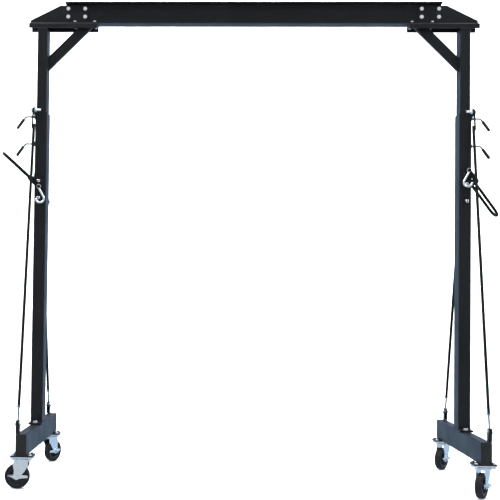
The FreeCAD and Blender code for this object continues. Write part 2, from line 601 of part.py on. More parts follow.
def caster_fork():
    """Crown cup and two tapered legs, drawn trailing along +X."""
    race_gap = 0.4
    crown_top = BASE_BOTTOM - MOUNT_T - PLATE_T - RACE_H - race_gap
    crown_outer = FORK_INNER_Y + FORK_T
    cup = cyl(CROWN_R, V(0, 0, CROWN_BOTTOM), V(0, 0, crown_top))
    cup = cup.makeFillet(2.5, [e for e in cup.Edges if e.Closed and e.CenterOfMass.z > crown_top - 0.1])
    web = span_box(-29, 37, -crown_outer, crown_outer, CROWN_BOTTOM, CROWN_BOTTOM + FORK_T)
    outline = ((-29, CROWN_BOTTOM + FORK_T), (37, CROWN_BOTTOM + FORK_T), (41, 108), (36, 84),
               (CASTER_TRAIL + 14, WHEEL_R - 5), (CASTER_TRAIL - 14, WHEEL_R - 5), (-15, 84), (-29, 108))
    legs = []
    for y in (-crown_outer, FORK_INNER_Y):
        leg = plate_xz(outline, y, y + FORK_T)
        leg = leg.fuse(cyl(15.0, V(CASTER_TRAIL, y, WHEEL_R), V(CASTER_TRAIL, y + FORK_T, WHEEL_R)))
        legs.append(leg)
    solid = cup.fuse([web] + legs).removeSplitter()
    bores = [cyl(6.0 + RUN_FIT, V(0, 0, CROWN_BOTTOM - 1), V(0, 0, crown_top + 1)),
             cyl(AXLE_R, V(CASTER_TRAIL, -40, WHEEL_R), V(CASTER_TRAIL, 40, WHEEL_R))]
    return solid.cut(bores)


def caster_axle():
    """The axle bolt, drawn with its nut outside the brake lever on the +Y side."""
    outer = FORK_INNER_Y + FORK_T
    shaft = bolt(AXLE_R, 16.0, 6.5, V(CASTER_TRAIL, -outer, WHEEL_R), Y_DIR, 2 * outer + 14)
    lock = nut(AXLE_R, 16.0, 8.0, V(CASTER_TRAIL, outer + 4.5, WHEEL_R), Y_DIR)
    return [shaft, lock]


def revolved(profile):
    """Turn a closed outline of (radius, y) about the wheel's axle."""
    corners = [V(r, y, 0) for r, y in profile]
    solid = Part.Face(Part.makePolygon(corners + corners[:1])).revolve(V(0, 0, 0), Y_DIR, 360)
    solid.translate(V(CASTER_TRAIL, 0, WHEEL_R))
    return solid


def wheel_core():
    half_hub, half_rim, half_web = FORK_INNER_Y - 0.6, WHEEL_W / 2 - 2, 4.0
    bore = AXLE_R + RUN_FIT
    profile = ((bore, -half_hub), (13, -half_hub), (15, -half_web - 2), (34, -half_web),
               (37, -half_rim), (CORE_R, -half_rim), (CORE_R, half_rim), (37, half_rim),
               (34, half_web), (15, half_web + 2), (13, half_hub), (bore, half_hub))
    return revolved(profile)


def tyre():
    half, shoulder = WHEEL_W / 2, 5.0
    profile = ((CORE_R, -half + 2), (CORE_R + 3, -half), (WHEEL_R - shoulder, -half),
               (WHEEL_R - 1.2, -half + shoulder - 1), (WHEEL_R, -half + shoulder + 3),
               (WHEEL_R, half - shoulder - 3), (WHEEL_R - 1.2, half - shoulder + 1),
               (WHEEL_R - shoulder, half), (CORE_R + 3, half), (CORE_R, half - 2))
    return revolved(profile)


def brake_lever():
    """A bar beside the fork, turning on the axle, with a tab for the toe."""
    y0 = FORK_INNER_Y + FORK_T + 0.6
    y1 = y0 + 3.2
    axle = V(CASTER_TRAIL, 0, WHEEL_R)
    outline = ((-54, -5), (-52, 6), (-12, 9), (12, 10), (36, 9), (36, 3), (12, -9), (-12, -9))
    bar = plate_xz([(axle.x + x, axle.z + z) for x, z in outline], y0, y1)
    boss = cyl(12.0, V(axle.x, y0, axle.z), V(axle.x, y1, axle.z))
    tab = span_box(axle.x + 12, axle.x + 36, y0, y0 + 30, axle.z + 5.8, axle.z + 9)
    tab = tab.makeFillet(5.0, [e for e in tab.Edges if e.Length < 3.5 and e.CenterOfMass.y > y0 + 20])
    solid = bar.fuse([boss, tab]).removeSplitter()
    return solid.cut(cyl(AXLE_R + RUN_FIT, V(axle.x, y0 - 1, axle.z), V(axle.x, y1 + 1, axle.z)))


def at_corner(shape, side, end, trail_deg=0.0):
    shape = shape.copy()
    shape.rotate(V(0, 0, 0), Z_DIR, trail_deg)
    shape.translate(V(side * MAST_X, end * CASTER_Y, 0))
    return shape


# ---------------------------------------------------------------- the crane
def build():
    add("i_beam", beam())
    add("web_bolts", *web_bolts())
    add("flange_bolts", *flange_bolts())
    for tag, side in SIDES:
        add("inner_mast_" + tag, on_side(inner_mast(), side))
        add("outer_mast_" + tag, on_side(outer_mast(), side))
        add("head_channel_" + tag, on_side(head_channel(), side))
        add("base_tube_" + tag, on_side(base_tube(), side))
        add("gussets", on_side(gusset(), side))
        add("knee_braces", on_side(brace(), side))
        add("foot_plates", on_side(foot_plate(), side))
        add("lever_brackets", on_side(lever_bracket(), side))
        for end in (-1, 1):
            add("base_end_caps", on_side(front_or_rear(base_cap(), end), side))
            add("foot_bolts", *[on_side(front_or_rear(s, end), side) for s in foot_bolts()])
            add("tie_rod_brackets", on_side(front_or_rear(rod_bracket(), end), side))
            add("tie_rods", on_side(front_or_rear(tie_rod(), end), side))
            add("tie_rod_eyebolts", *[on_side(front_or_rear(s, end), side) for s in tie_rod_eyebolt()])
            add("tie_rod_lugs", on_side(front_or_rear(tie_rod_lug(), end), side))
            add("tie_rod_bolts", *[on_side(front_or_rear(s, end), side) for s in tie_rod_bolts()])
        for level, z in zip(("lower", "upper"), SCREW_HEIGHTS):
            add("clamp_nuts", on_side(clamp_nut(z), side))
            add("clamp_screw_%s_%s" % (level, tag), on_side(clamp_screw(z), side))
            add("clamp_grip_%s_%s" % (level, tag), on_side(clamp_grip(z), side))
        for level, z in zip(("lower", "upper"), PIN_HEIGHTS):
            add("lock_pin_bushes", on_side(pin_bush(z), side))
            add("lock_pin_%s_%s" % (level, tag), on_side(lock_pin(z), side))
        angle = LEVER_UP_DEG if side < 0 else LEVER_DOWN_DEG
        add("lift_lever_" + tag, on_side(lift_lever(angle), side))
        add("lift_hooks_" + tag, *[on_side(lift_hook(angle, end), side) for end in (-1, 1)])
    for tag, side, end, trail, brake_side in CASTERS:
        add("caster_mount_plates", at_corner(mount_plate(), side, end))
        add("caster_top_plates", at_corner(caster_top_plate(), side, end))
        add("caster_plate_bolts", *[at_corner(s, side, end) for s in plate_bolts()])
        add("caster_kingpins", at_corner(kingpin(), side, end))
        fork_and_axle = [caster_fork()] + [front_or_rear(s, brake_side) for s in caster_axle()]
        add("caster_fork_" + tag, *[at_corner(s, side, end, trail) for s in fork_and_axle])
        add("wheel_core_" + tag, at_corner(wheel_core(), side, end, trail))
        add("tyre_" + tag, at_corner(tyre(), side, end, trail))
        add("brake_lever_" + tag, at_corner(front_or_rear(brake_lever(), brake_side), side, end, trail))


def export():
    os.makedirs("parts", exist_ok=True)
    for name, solids in nodes.items():
        flat = [s for shape in solids for s in shape.Solids]
        shape = flat[0] if len(flat) == 1 else Part.makeCompound(flat)
        shape.exportStep("parts/%s.step" % name)
        state = "valid" if all(s.isValid() and s.isClosed() for s in flat) else "BROKEN"
        print("%-28s %2d solid(s) %10.1f cm3 %s" % (name, len(flat), sum(s.Volume for s in flat) / 1000, state))
    print(len(nodes), "nodes")


build()
export()
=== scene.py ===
import json
import math

import bmesh
import bpy
from mathutils import Matrix, Vector


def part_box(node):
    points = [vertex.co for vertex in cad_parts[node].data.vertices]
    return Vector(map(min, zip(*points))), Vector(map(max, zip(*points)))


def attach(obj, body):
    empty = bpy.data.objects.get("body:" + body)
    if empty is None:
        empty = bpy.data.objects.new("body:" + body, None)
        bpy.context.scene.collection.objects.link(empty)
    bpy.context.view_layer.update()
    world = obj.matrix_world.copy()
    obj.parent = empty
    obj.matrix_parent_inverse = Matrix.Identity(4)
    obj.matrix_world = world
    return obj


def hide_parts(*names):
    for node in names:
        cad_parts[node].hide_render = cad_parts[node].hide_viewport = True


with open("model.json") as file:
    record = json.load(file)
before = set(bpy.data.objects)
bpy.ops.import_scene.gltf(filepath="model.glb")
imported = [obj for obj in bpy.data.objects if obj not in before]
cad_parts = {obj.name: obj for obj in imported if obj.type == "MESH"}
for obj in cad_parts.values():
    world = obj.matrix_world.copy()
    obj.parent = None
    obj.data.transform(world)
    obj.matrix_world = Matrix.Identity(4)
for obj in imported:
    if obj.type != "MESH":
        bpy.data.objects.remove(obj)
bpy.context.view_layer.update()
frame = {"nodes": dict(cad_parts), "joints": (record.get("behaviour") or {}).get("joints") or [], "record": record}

SIDES = (("left", -1), ("right", 1))
ENDS = (-1, 1)
CORNERS = ("front_left", "front_right", "rear_left", "rear_right")
JOINTS = {joint["name"]: joint for joint in frame["joints"]}
SLOTS = {part["node"]: part["material_slot"] for part in frame["record"]["subparts"]}

# Sizes inside a node that its box doesn't give, in metres.
LUG_WIDTH, LUG_LENGTH = 0.0154, 0.033           # a tie rod lug's foot on the base, along X and Y
EAR_BOLT_IN_Y, EAR_BOLT_IN_Z = 0.014, 0.015     # from the ear's outer corner to its bolt
STRAP_THICKNESS, STRAP_TO_JOINT = 0.005, 0.076  # the strap at a tie rod's top, from bolt to joint
ROD_INSET = 0.008                               # the rod lies this far inside its strap
EYE_RADIUS = 0.012                              # the ring of the eyebolt at a tie rod's foot
EAR_ROOT_Y = 0.0262                             # just outside the inner edge of a tie rod ear
LEVER_BRACKET_HALF = 0.028                      # the bead round a lever bracket, from its middle
BRACE_CUT = 0.0707                              # the knee brace's mitred end, along the mast or head
CLAMP_RADIUS = 0.006                            # the clamp screw's thread
GRIP_SLOPE, GRIP_RADIUS = math.radians(54.0), 0.008
BEARING_RADIUS = 0.00505                        # the sleeve's bore, just over the axle


def box_and_x_span(name):
    """A node's corners, and how near to and how far from the crane's middle it lies along X."""
    low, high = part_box(name)
    near, far = sorted((abs(low.x), abs(high.x)))
    return low, high, near, far


# ---------------------------------------------------------------- material helpers
class Nodes:
    """A short way to add and link shader nodes in one material."""

    def __init__(self, name):
        self.material = bpy.data.materials.new(name)
        self.material.use_nodes = True
        self.tree = self.material.node_tree
        self.shader = self.tree.nodes["Principled BSDF"]
        self.coords = self.tree.nodes.new("ShaderNodeTexCoord").outputs["Object"]

    def add(self, kind, **settings):
        node = self.tree.nodes.new(kind)
        for key, value in settings.items():
            setattr(node, key, value)
        return node

    def link(self, output, socket):
        self.tree.links.new(output, socket)

    def set(self, **values):
        for key, value in values.items():
            self.shader.inputs[key.replace("_", " ")].default_value = value

    def noise(self, scale, detail=2.0, roughness=0.5, stretch=None):
        node = self.add("ShaderNodeTexNoise")
        node.inputs["Scale"].default_value = scale
        node.inputs["Detail"].default_value = detail
        node.inputs["Roughness"].default_value = roughness
        self.link(self.stretched(stretch), node.inputs["Vector"])
        return node.outputs["Fac"]

    def cells(self, scale):
        node = self.add("ShaderNodeTexVoronoi")
        node.inputs["Scale"].default_value = scale
        self.link(self.coords, node.inputs["Vector"])
        return node

    def stretched(self, stretch):
        if stretch is None:
            return self.coords
        mapping = self.add("ShaderNodeMapping")
        mapping.inputs["Scale"].default_value = stretch
        self.link(self.coords, mapping.inputs["Vector"])
        return mapping.outputs["Vector"]

    def ramp(self, value, stops):
        node = self.add("ShaderNodeValToRGB")
        elements = node.color_ramp.elements
        while len(elements) < len(stops):
            elements.new(0.5)
        for element, (place, colour) in zip(elements, stops):
            element.position = place
            element.color = (*colour, 1.0)
        self.link(value, node.inputs["Fac"])
        return node.outputs["Color"]

    def to_range(self, value, low, high, from_low=0.0, from_high=1.0):
        node = self.add("ShaderNodeMapRange")
        node.inputs["From Min"].default_value = from_low
        node.inputs["From Max"].default_value = from_high
        node.inputs["To Min"].default_value = low
        node.inputs["To Max"].default_value = high
        self.link(value, node.inputs["Value"])
        return node.outputs["Result"]

    def mixed(self, amount, first, second):
        node = self.add("ShaderNodeMix", data_type="RGBA")
        self.link(amount, node.inputs["Factor"])
        for socket, colour in ((node.inputs["A"], first), (node.inputs["B"], second)):
            if isinstance(colour, tuple):
                socket.default_value = (*colour, 1.0)
            else:
                self.link(colour, socket)
        return node.outputs["Result"]

    def combined(self, operation, first, second):
        node = self.add("ShaderNodeMath", operation=operation)
        for socket, value in zip(node.inputs, (first, second)):
            if isinstance(value, (int, float)):
                socket.default_value = value
            else:
                self.link(value, socket)
        return node.outputs["Value"]

    def bump(self, *layers):
        """layers are (height, strength, distance in metres), coarse to fine."""
        normal = None
        for height, strength, distance in layers:
            node = self.add("ShaderNodeBump")
            node.inputs["Strength"].default_value = strength
            node.inputs["Distance"].default_value = distance
            self.link(height, node.inputs["Height"])
            if normal is not None:
                self.link(normal, node.inputs["Normal"])
            normal = node.outputs["Normal"]
        self.link(normal, self.shader.inputs["Normal"])

    def edge_wear(self, radius, low, high):
        """0 on flat faces and 1 along edges, from the difference a bevel makes to the normal."""
        bevel = self.add("ShaderNodeBevel", samples=4)
        bevel.inputs["Radius"].default_value = radius
        geometry = self.add("ShaderNodeNewGeometry")
        dot = self.add("ShaderNodeVectorMath", operation="DOT_PRODUCT")
        self.link(bevel.outputs["Normal"], dot.inputs[0])
        self.link(geometry.outputs["Normal"], dot.inputs[1])
        return self.to_range(dot.outputs["Value"], 1.0, 0.0, low, high)


# ---------------------------------------------------------------- materials
COOL_GLOSS = (0.86, 0.93, 1.0, 1.0)


def powder_coat(name, rough_low, rough_high, gloss):
    """Black powder coat: a fine orange peel, cloudy gloss and edges worn to grey primer."""
    m = Nodes(name)
    deep, faded, primer = (0.0036, 0.0038, 0.0042), (0.0060, 0.0063, 0.0070), (0.040, 0.044, 0.052)
    coat = m.ramp(m.noise(2.2, 3.0, 0.55), ((0.30, deep), (0.72, faded)))
    patches = m.to_range(m.noise(38.0, 5.0, 0.62), 0.0, 1.0, 0.45, 0.75)
    worn = m.combined("MULTIPLY", m.edge_wear(0.0025, 0.86, 0.995), patches)
    m.link(m.mixed(m.combined("MULTIPLY", worn, 0.5), coat, primer), m.shader.inputs["Base Color"])
    m.link(m.to_range(m.noise(7.0, 4.0), rough_low, rough_high, 0.3, 0.7), m.shader.inputs["Roughness"])
    m.set(Specular_IOR_Level=gloss, Specular_Tint=COOL_GLOSS)
    m.bump((m.noise(26.0, 2.0), 0.10, 0.0006), (m.noise(430.0, 2.0, 0.6), 0.22, 0.00025))
    return m.material


def weld_paint():
    """Paint over a weld: glossier and more uneven than on the plates."""
    m = Nodes("painted_weld")
    low, high = (0.0045, 0.0052, 0.0066), (0.0090, 0.0100, 0.0122)
    m.link(m.ramp(m.noise(90.0, 3.0), ((0.3, low), (0.75, high))), m.shader.inputs["Base Color"])
    m.link(m.to_range(m.noise(160.0, 2.0), 0.24, 0.40), m.shader.inputs["Roughness"])
    m.set(Specular_IOR_Level=0.3, Specular_Tint=COOL_GLOSS)
    m.bump((m.noise(520.0, 3.0, 0.6), 0.35, 0.0003))
    return m.material


def zinc_plate(name, colour, rough_low, rough_high):
    """Bright plating: a faint crystalline spangle, fine rolling marks and a few duller patches."""
    m = Nodes(name)
    spangle = m.add("ShaderNodeRGBToBW")
    m.link(m.cells(95.0).outputs["Color"], spangle.inputs["Color"])
    patch = m.noise(17.0, 4.0, 0.6)
    streak = m.noise(140.0, 2.0, 0.5, (1.0, 1.0, 0.12))
    dark = tuple(channel * 0.86 for channel in colour)
    dull = (colour[0] * 0.93, colour[1] * 0.91, colour[2] * 0.86)
    plate = m.mixed(m.to_range(spangle.outputs["Val"], 0.0, 0.6), dark, colour)
    plate = m.mixed(m.to_range(patch, 0.0, 0.45, 0.52, 0.75), plate, dull)
    m.link(plate, m.shader.inputs["Base Color"])
    rough = m.to_range(patch, rough_low, rough_high, 0.3, 0.7)
    rough = m.combined("ADD", rough, m.to_range(streak, -0.03, 0.05))
    m.link(rough, m.shader.inputs["Roughness"])
    m.set(Metallic=1.0)
    m.bump((m.noise(60.0, 3.0), 0.08, 0.0004), (streak, 0.10, 0.0002))
    return m.material


def tyre_rubber():
    """Black rubber with paler dusty patches and a fine grain."""
    m = Nodes("tyre_rubber")
    clean, used, dusty = (0.0045, 0.0050, 0.0060), (0.0085, 0.0090, 0.0105), (0.026, 0.027, 0.029)
    rubber = m.ramp(m.noise(24.0, 5.0, 0.65), ((0.3, clean), (0.62, used), (0.85, dusty)))
    m.link(rubber, m.shader.inputs["Base Color"])
    m.link(m.to_range(m.noise(55.0, 4.0), 0.50, 0.72, 0.3, 0.7), m.shader.inputs["Roughness"])
    m.set(Specular_IOR_Level=0.22)
    m.bump((m.noise(120.0, 3.0), 0.18, 0.0004), (m.cells(900.0).outputs["Distance"], 0.16, 0.00015))
    return m.material


def moulded_plastic(name, low, high, rough):
    """Black plastic or soft rubber with the pebbled grain of its mould."""
    m = Nodes(name)
    base = m.ramp(m.noise(20.0, 3.0), ((0.3, low), (0.75, high)))
    m.link(base, m.shader.inputs["Base Color"])
    m.link(m.to_range(m.noise(70.0, 2.0), rough - 0.06, rough + 0.08), m.shader.inputs["Roughness"])
    m.set(Specular_IOR_Level=0.28)
    m.bump((m.cells(1400.0).outputs["Distance"], 0.30, 0.00012), (m.noise(30.0), 0.05, 0.0004))
    return m.material


def floor_paint():
    """Plain white studio paint."""
    m = Nodes("floor_white")
    low, high = (0.90, 0.905, 0.91), (0.93, 0.933, 0.936)
    m.link(m.ramp(m.noise(0.9, 3.0), ((0.2, low), (0.8, high))), m.shader.inputs["Base Color"])
    m.link(m.to_range(m.noise(3.0, 4.0), 0.50, 0.62), m.shader.inputs["Roughness"])
    m.set(Specular_IOR_Level=0.3)
    return m.material


COAT = powder_coat("black_powder_coat", 0.34, 0.46, 0.20)
ROD_COAT = powder_coat("black_rod_paint", 0.50, 0.62, 0.08)
WELD = weld_paint()
ZINC = zinc_plate("bright_zinc", (0.90, 0.94, 0.97), 0.14, 0.28)
STEEL = zinc_plate("zinc_pressing", (0.80, 0.90, 0.98), 0.16, 0.30)
BLACKENED = zinc_plate("blackened_steel", (0.15, 0.18, 0.22), 0.20, 0.34)
TYRE = tyre_rubber()
CORE = moulded_plastic("wheel_core_plastic", (0.008, 0.009, 0.012), (0.016, 0.018, 0.022), 0.34)
CAP = moulded_plastic("cap_plastic", (0.005, 0.0055, 0.0065), (0.010, 0.011, 0.012), 0.42)
GRIP = moulded_plastic("grip_rubber", (0.005, 0.0053, 0.006), (0.010, 0.0105, 0.0115), 0.50)

BY_SLOT = {"black_paint": COAT, "zinc": ZINC, "black_plastic": CAP, "rubber": GRIP, "tyre": TYRE,
           "dark_steel": BLACKENED, SLOTS["wheel_core_front_left"]: CORE}
BY_NODE = {"caster_top_plates": STEEL}
BY_NODE.update({piece + corner: STEEL for piece in ("caster_fork_", "brake_lever_") for corner in CORNERS})
BY_NODE.update({node: ROD_COAT for node in ("tie_rods", "lift_lever_left", "lift_lever_right")})


def paint_frame():
    """Give every CAD node its finish: its own where it has one, else its slot's."""
    for node, slot in SLOTS.items():
        materials = frame["nodes"][node].data.materials
        materials.clear()
        materials.append(BY_NODE.get(node, BY_SLOT[slot]))


# ---------------------------------------------------------------- mesh helpers
def smooth_object(name, bm, material):
    """Turn a bmesh into a smooth-shaded object in the scene."""
    mesh = bpy.data.meshes.new(name)
    bm.to_mesh(mesh)
    bm.free()
    for polygon in mesh.polygons:
        polygon.use_smooth = True
    mesh.materials.append(material)
    obj = bpy.data.objects.new(name, mesh)
    bpy.context.scene.collection.objects.link(obj)
    return obj


def finished(name, bm, material, body):
    """Turn a bmesh into a piece of the crane that rides on a body."""
    bmesh.ops.recalc_face_normals(bm, faces=bm.faces)
    obj = smooth_object(name, bm, material)
    obj.data.set_sharp_from_angle(angle=math.radians(38))
    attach(obj, body)
    return obj


def around(count):
    """Evenly spaced angles for one full turn."""
    return [math.tau * i / count for i in range(count)]


def spoke(first, second, angle):
    """A unit vector at an angle in the plane of two others."""
    return first * math.cos(angle) + second * math.sin(angle)


def basis(direction):
    """Two unit vectors square to a direction."""
    direction = direction.normalized()
    helper = Vector((0, 0, 1)) if abs(direction.z) < 0.9 else Vector((1, 0, 0))
    first = direction.cross(helper).normalized()
    return first, direction.cross(first).normalized()


def skin_rings(bm, rings, closed):
    """Join rings of vertices into a tube, closed on itself or capped."""
    count = len(rings[0])
    pairs = list(zip(rings, rings[1:])) + ([(rings[-1], rings[0])] if closed else [])
    for low, high in pairs:
        for i in range(count):
            j = (i + 1) % count
            bm.faces.new((low[i], low[j], high[j], high[i]))
    if not closed:
        bm.faces.new(list(reversed(rings[0])))
        bm.faces.new(rings[-1])


def weld_run(bm, points, radius, closed=False, pitch=0.0042):
    """One weld bead with its overlapping ripples, along straight runs between points."""
    points = [Vector(p) for p in points]
    if closed:
        points.append(points[0])
    stations = []
    for start, end in zip(points, points[1:]):
        steps = max(2, round((end - start).length / (pitch / 3)))
        direction = (end - start).normalized()
        stations += [(start.lerp(end, i / steps), direction) for i in range(steps)]
    if not closed:
        stations.append((points[-1], (points[-1] - points[-2]).normalized()))
    rings = []
    for k, (centre, direction) in enumerate(stations):
        before = stations[k - 1][1] if k or closed else direction
        along = (before + direction).normalized()
        first, second = basis(along)
        ripple = 1.0 - 0.24 * abs(math.sin(math.pi * k / 3.0 + 0.4)) + 0.05 * math.sin(k * 0.37)
        ring = []
        for a in around(8):
            push = along * (radius * 0.35 * abs(math.cos(a)))
            ring.append(bm.verts.new(centre + spoke(first, second, a) * radius * ripple + push))
        rings.append(ring)
    skin_rings(bm, rings, closed)


def circle(centre, normal, radius, count):
    first, second = basis(Vector(normal))
    return [Vector(centre) + spoke(first, second, a) * radius for a in around(count)]


def screw_thread(bm, start, direction, length, radius, pitch, depth):
    """A helical ridge around a rod, as one closed tube whose surface rises and falls."""
    start, direction = Vector(start), Vector(direction).normalized()
    first, second = basis(direction)
    sides, per_turn = 16, 4
    count = max(4, round(length / pitch * per_turn))
    rings = []
    for k in range(count + 1):
        along = length * k / count
        taper = min(1.0, (length - along) / pitch + 0.25, along / pitch + 0.25)
        ring = []
        for a in around(sides):
            turn = (along / pitch - a / math.tau) % 1.0
            crest = 1.0 - abs(2.0 * turn - 1.0)
            r = radius - depth * (1.0 - taper) + depth * (crest - 0.35) * taper
            ring.append(bm.verts.new(start + direction * along + spoke(first, second, a) * r))
        rings.append(ring)
    skin_rings(bm, rings, False)


def lathe(bm, profile, centre, axis, sides):
    """Turn a closed outline of (radius, offset along the axis) into a ring about the axis."""
    axis = Vector(axis).normalized()
    first, second = basis(axis)
    rings = []
    for a in around(sides):
        out = spoke(first, second, a)
        rings.append([bm.verts.new(Vector(centre) + out * r + axis * offset) for r, offset in profile])
    skin_rings(bm, rings, True)


def rounded(profile, radius, steps=3):
    """Replace each corner of a closed outline by an arc-like blend."""
    points = [Vector(p) for p in profile]
    result = []
    for i, point in enumerate(points):
        before, after = points[i - 1], points[(i + 1) % len(points)]
        length_before, length_after = (before - point).length, (after - point).length
        reach = min(radius, length_before * 0.45, length_after * 0.45)
        start = point.lerp(before, reach / length_before)
        end = point.lerp(after, reach / length_after)
        for k in range(steps + 1):
            t = k / steps
            result.append(tuple(start * (1 - t) ** 2 + point * (2 * t * (1 - t)) + end * t ** 2))
    return result


# ---------------------------------------------------------------- welds
FOOT_BEAD, BRACKET_BEAD, NUT_BEAD, BUSH_BEAD = 0.0032, 0.0022, 0.0020, 0.0018
EAR_ROOT_BEAD, EAR_SIDE_BEAD, LUG_BEAD = 0.0021, 0.0023, 0.0022
GUSSET_BEAD, TUBE_BEAD = 0.0028, 0.0026
NUT_RING, BUSH_RING = 0.0122, 0.0112            # the beads round the clamp nuts and pin bushes
FINE_PITCH = 0.0036                             # ripples in a small ring lie closer


def rectangle(a0, a1, b0, b1):
    """The four corners of a rectangle, in order round it."""
    return [(a0, b0), (a1, b0), (a1, b1), (a0, b1)]


def mast_welds(bm, tag, s):
    """Beads round an outer mast's foot, lever bracket, clamp nuts and pin bushes."""
    low, high, near, far = box_and_x_span("outer_mast_" + tag)
    foot_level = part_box("foot_plates")[1].z + 0.0008
    foot = rectangle(s * near, s * far, low.y, high.y)
    weld_run(bm, [(x, y, foot_level) for x, y in foot], FOOT_BEAD, closed=True)

    bracket_low, bracket_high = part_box("lever_brackets")
    bracket = [(LEVER_BRACKET_HALF, bracket_low.z), (LEVER_BRACKET_HALF, bracket_high.z),
               (-LEVER_BRACKET_HALF, bracket_high.z), (-LEVER_BRACKET_HALF, bracket_low.z)]
    weld_run(bm, [(s * (far + 0.0006), y, z) for y, z in bracket], BRACKET_BEAD, closed=True)

    for name in ("clamp_screw_lower_", "clamp_screw_upper_"):
        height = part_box(name + tag)[1].z - CLAMP_RADIUS
        ring = circle((s * (far + 0.0005), 0, height), (1, 0, 0), NUT_RING, 18)
        weld_run(bm, ring, NUT_BEAD, closed=True, pitch=FINE_PITCH)
    for name in ("lock_pin_lower_", "lock_pin_upper_"):
        pin_low, pin_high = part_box(name + tag)
        pin = (pin_low + pin_high) / 2
        ring = circle((pin.x, low.y - 0.0004, pin.z), (0, 1, 0), BUSH_RING, 20)
        weld_run(bm, ring, BUSH_BEAD, closed=True, pitch=FINE_PITCH)


def tie_rod_welds(bm, tag, s):
    """Beads beside the tie rod ears on a mast and round the lugs on its base."""
    _, mast_high, _, far = box_and_x_span("outer_mast_" + tag)
    ear_low, ear_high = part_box("tie_rod_brackets")
    lug_low, lug_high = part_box("tie_rod_lugs")
    face_x, side_x = s * (far + 0.0004), s * (far - 0.0010)
    lug_far, lug_near = abs(lug_high.x) - 0.005, abs(lug_high.x) - LUG_WIDTH
    lug_foot = [(lug_far, lug_high.y - LUG_LENGTH), (lug_near, lug_high.y - LUG_LENGTH),
                (lug_near, lug_high.y), (lug_far, lug_high.y)]
    for e in ENDS:
        root_y, side_y = e * EAR_ROOT_Y, e * (mast_high.y + 0.0002)
        root = [(face_x, root_y, ear_high.z - 0.004), (face_x, root_y, ear_low.z + 0.003)]
        side = [(side_x, side_y, ear_high.z - 0.005), (side_x, side_y, ear_low.z + 0.014)]
        weld_run(bm, root, EAR_ROOT_BEAD)
        weld_run(bm, side, EAR_SIDE_BEAD)
        weld_run(bm, [(s * x, e * y, lug_low.z + 0.0006) for x, y in lug_foot], LUG_BEAD)


def leg_welds():
    bm = bmesh.new()
    for tag, s in SIDES:
        mast_welds(bm, tag, s)
        tie_rod_welds(bm, tag, s)
    finished("leg_welds", bm, WELD, "legs")


def upper_welds():
    """Beads of the gussets, the inner masts' tops and both ends of the knee braces."""
    bm = bmesh.new()
    gusset_low, gusset_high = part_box("gussets")
    brace_low, brace_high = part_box("knee_braces")
    half = brace_high.y
    gusset_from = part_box("i_beam")[1].x + 0.006
    for tag, s in SIDES:
        _, head_high, _, head_far = box_and_x_span("head_channel_" + tag)
        level, gusset_to = head_high.z + 0.0006, head_far - 0.002
        for y in (gusset_low.y, gusset_high.y):
            weld_run(bm, [(s * gusset_from, y, level), (s * gusset_to, y, level)], GUSSET_BEAD)

        mast_low, mast_high, near, far = box_and_x_span("inner_mast_" + tag)
        level, from_x, to_x = mast_high.z - 0.0004, s * (near + 0.003), s * (far - 0.003)
        for y in (mast_low.y * 0.995, mast_high.y * 0.995):
            weld_run(bm, [(from_x, y, level), (to_x, y, level)], TUBE_BEAD)

        foot = rectangle(-half, half, brace_low.z, brace_low.z + BRACE_CUT)
        weld_run(bm, [(s * (near - 0.0004), y, z) for y, z in foot], TUBE_BEAD, closed=True)
        top_in = near - (brace_high.z - brace_low.z)
        top = rectangle(top_in, top_in + BRACE_CUT, -half, half)
        weld_run(bm, [(s * x, y, brace_high.z - 0.0004) for x, y in top], TUBE_BEAD, closed=True)
    finished("upper_welds", bm, WELD, "upper_frame")


# ---------------------------------------------------------------- casters
def tyre(corner, centre, axis):
    """A moulded tyre: a bead, a bulging side wall and fine lines round the tread."""
    radius, half, tread_half = centre[2], 0.016, 0.0085
    groove, lines = 0.0007, 10
    tread = [(radius - groove * (k % 2), -tread_half + 2 * tread_half * k / lines) for k in range(lines + 1)]
    wall = [(0.0440, -half + 0.0030), (0.0458, -half + 0.0006), (0.0484, -half), (0.0506, -half + 0.0008),
            (0.0528, -half + 0.0004), (0.0550, -half + 0.0016), (0.0569, -half + 0.0040)]
    bm = bmesh.new()
    lathe(bm, wall + tread + [(r, -y) for r, y in reversed(wall)], centre, axis, 96)
    piece = finished("tyre_moulded_" + corner, bm, TYRE, "wheel_" + corner)
    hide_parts("tyre_" + corner)


def wheel_rib(bm, centre, axis, out, face):
    """One tapered rib between hub and rim, on one face of the wheel's thin web."""
    across = axis.cross(out)
    corners = []
    for r, half_thick, depth in ((0.0155, 0.0016, 0.0140), (0.0358, 0.0011, 0.0112)):
        for side in (-half_thick, half_thick):
            for level in (0.003, depth):
                corners.append(bm.verts.new(centre + out * r + across * side + axis * (face * level)))
    a0, a1, b0, b1, c0, c1, d0, d1 = corners
    for quad in ((a0, b0, b1, a1), (c0, c1, d1, d0), (a1, b1, d1, c1), (a0, c0, d0, b0),
                 (a0, a1, c1, c0), (b0, d0, d1, b1)):
        bm.faces.new(quad)


